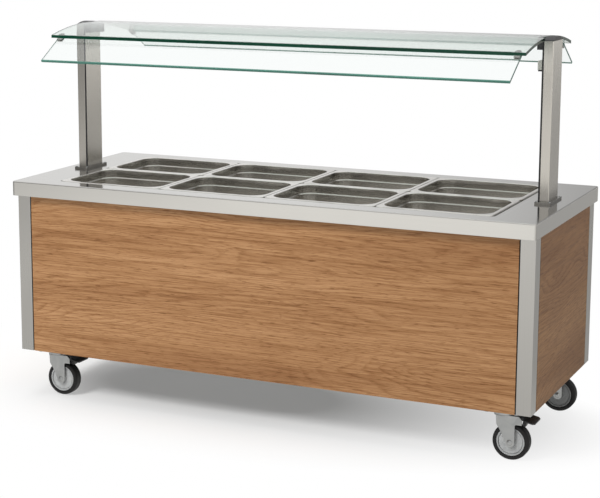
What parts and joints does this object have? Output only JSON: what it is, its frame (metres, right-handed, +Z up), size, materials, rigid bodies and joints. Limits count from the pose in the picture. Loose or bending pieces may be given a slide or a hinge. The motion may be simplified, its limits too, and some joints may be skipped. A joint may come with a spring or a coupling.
{
  "type": "buffet counter",
  "caption": "Mobile buffet counter with a pan well, wood-decor panels, a bowed glass hood on uprights and swivel casters.",
  "frame": {"origin": "on the floor under the middle of the worktop", "axes": "+X to the right along the counter, +Y to the operator's side, +Z up"},
  "size_m": [1.566, 0.65, 1.097],
  "materials": {
    "stainless": "satin",
    "pan_steel": "polished",
    "post_steel": "satin",
    "jacket_sheet": "galvanised",
    "heater_sheath": "dull",
    "valve_brass": "satin",
    "lever_red": "gloss",
    "chassis_paint": "satin",
    "wood_decor": "matt laminate",
    "seal_black": "matt",
    "plastic_dark": "matt",
    "plastic_black": "satin",
    "switch_green": "gloss",
    "lamp_amber": "gloss",
    "clear_glass": "polished, dark green at the edge",
    "pane_glass": "polished, teal at the edge",
    "clamp_metal": "satin",
    "box_grey": "satin",
    "zinc_plated": "zinc plated",
    "disc_grey": "satin",
    "tyre_black": "matt"
  },
  "bodies": {
    "counter": {"worktop": "stainless", "water_tank": "stainless", "tank_jacket": "jacket_sheet", "heating_element": "heater_sheath", "cross_bars": "stainless", "drain_valve": "valve_brass", "chassis": "chassis_paint", "storage_floor": "stainless", "post_front_left": "post_steel", "post_front_right": "post_steel", "post_rear_left": "post_steel", "post_rear_right": "post_steel", "front_panel": "wood_decor", "left_panel": "wood_decor", "right_panel": "wood_decor", "gap_seals": "seal_black", "control_panel": "stainless", "thermostat": "plastic_dark", "switch_frame": "plastic_black", "signal_lamp": "lamp_amber", "left_upright": "post_steel", "right_upright": "post_steel", "foot_plates": "stainless", "backing_plates": "zinc_plated", "upright_caps": "plastic_black", "upright_strips": "seal_black", "glass_roof": "clear_glass", "front_pane": "pane_glass", "rear_pane": "pane_glass", "roof_rests": "plastic_black", "pane_clamps": "clamp_metal", "side_box": "box_grey", "side_box_base": "plastic_black", "caster_plates": "zinc_plated", "mounting_bolts": "zinc_plated"},
    "caster_front_left": {"fork_front_left": "zinc_plated"},
    "roller_front_left": {"wheel_front_left": "disc_grey", "tyre_front_left": "tyre_black"},
    "caster_front_right": {"fork_front_right": "zinc_plated"},
    "roller_front_right": {"wheel_front_right": "disc_grey", "tyre_front_right": "tyre_black"},
    "caster_rear_left": {"fork_rear_left": "zinc_plated"},
    "roller_rear_left": {"wheel_rear_left": "disc_grey", "tyre_rear_left": "tyre_black"},
    "caster_rear_right": {"fork_rear_right": "zinc_plated"},
    "roller_rear_right": {"wheel_rear_right": "disc_grey", "tyre_rear_right": "tyre_black"},
    "brake_left": {"pedal_left": "plastic_black"},
    "brake_right": {"pedal_right": "plastic_black"},
    "lift_pan_1_front": {"pan_1_front": "pan_steel"},
    "lift_pan_2_front": {"pan_2_front": "pan_steel"},
    "lift_pan_3_front": {"pan_3_front": "pan_steel"},
    "lift_pan_4_front": {"pan_4_front": "pan_steel"},
    "lift_pan_1_rear": {"pan_1_rear": "pan_steel"},
    "lift_pan_2_rear": {"pan_2_rear": "pan_steel"},
    "lift_pan_3_rear": {"pan_3_rear": "pan_steel"},
    "lift_pan_4_rear": {"pan_4_rear": "pan_steel"},
    "knob": {"thermostat_knob": "plastic_black"},
    "rocker": {"switch_rocker": "switch_green"},
    "lever": {"drain_lever": "lever_red"}
  },
  "joints": [
    {"name": "swivel_front_left", "type": "hinge", "parent": "counter", "child": "caster_front_left", "pos_m": [-0.69, -0.238, 0.11], "axis": [0, 0, 1], "continuous": true},
    {"name": "roll_front_left", "type": "hinge", "parent": "caster_front_left", "child": "roller_front_left", "pos_m": [-0.669, -0.238, 0.05], "axis": [0, 1, 0], "continuous": true},
    {"name": "swivel_front_right", "type": "hinge", "parent": "counter", "child": "caster_front_right", "pos_m": [0.69, -0.238, 0.11], "axis": [0, 0, 1], "continuous": true},
    {"name": "roll_front_right", "type": "hinge", "parent": "caster_front_right", "child": "roller_front_right", "pos_m": [0.711, -0.238, 0.05], "axis": [0, 1, 0], "continuous": true},
    {"name": "swivel_rear_left", "type": "hinge", "parent": "counter", "child": "caster_rear_left", "pos_m": [-0.69, 0.238, 0.11], "axis": [0, 0, 1], "continuous": true},
    {"name": "roll_rear_left", "type": "hinge", "parent": "caster_rear_left", "child": "roller_rear_left", "pos_m": [-0.669, 0.238, 0.05], "axis": [0, 1, 0], "continuous": true},
    {"name": "swivel_rear_right", "type": "hinge", "parent": "counter", "child": "caster_rear_right", "pos_m": [0.69, 0.238, 0.11], "axis": [0, 0, 1], "continuous": true},
    {"name": "roll_rear_right", "type": "hinge", "parent": "caster_rear_right", "child": "roller_rear_right", "pos_m": [0.711, 0.238, 0.05], "axis": [0, 1, 0], "continuous": true},
    {"name": "brake_press_left", "type": "hinge", "parent": "caster_front_left", "child": "brake_left", "pos_m": [-0.652, -0.238, 0.11], "axis": [0, 1, 0], "range_deg": [0, 12]},
    {"name": "brake_press_right", "type": "hinge", "parent": "caster_front_right", "child": "brake_right", "pos_m": [0.728, -0.238, 0.11], "axis": [0, 1, 0], "range_deg": [0, 12]},
    {"name": "lift_out_pan_1_front", "type": "slide", "parent": "counter", "child": "lift_pan_1_front", "axis": [0, 0, 1], "range_m": [0, 0.15]},
    {"name": "lift_out_pan_2_front", "type": "slide", "parent": "counter", "child": "lift_pan_2_front", "axis": [0, 0, 1], "range_m": [0, 0.15]},
    {"name": "lift_out_pan_3_front", "type": "slide", "parent": "counter", "child": "lift_pan_3_front", "axis": [0, 0, 1], "range_m": [0, 0.15]},
    {"name": "lift_out_pan_4_front", "type": "slide", "parent": "counter", "child": "lift_pan_4_front", "axis": [0, 0, 1], "range_m": [0, 0.15]},
    {"name": "lift_out_pan_1_rear", "type": "slide", "parent": "counter", "child": "lift_pan_1_rear", "axis": [0, 0, 1], "range_m": [0, 0.15]},
    {"name": "lift_out_pan_2_rear", "type": "slide", "parent": "counter", "child": "lift_pan_2_rear", "axis": [0, 0, 1], "range_m": [0, 0.15]},
    {"name": "lift_out_pan_3_rear", "type": "slide", "parent": "counter", "child": "lift_pan_3_rear", "axis": [0, 0, 1], "range_m": [0, 0.15]},
    {"name": "lift_out_pan_4_rear", "type": "slide", "parent": "counter", "child": "lift_pan_4_rear", "axis": [0, 0, 1], "range_m": [0, 0.15]},
    {"name": "thermostat_turn", "type": "hinge", "parent": "counter", "child": "knob", "pos_m": [0.6, 0.3, 0.553], "axis": [0, 1, 0], "range_deg": [-270, 0]},
    {"name": "switch_rock", "type": "hinge", "parent": "counter", "child": "rocker", "pos_m": [0.52, 0.296, 0.553], "axis": [1, 0, 0], "range_deg": [-8, 8]},
    {"name": "drain_turn", "type": "hinge", "parent": "counter", "child": "lever", "pos_m": [-0.6, 0.18, 0.3955], "axis": [0, 1, 0], "range_deg": [0, 90]}
  ]
}
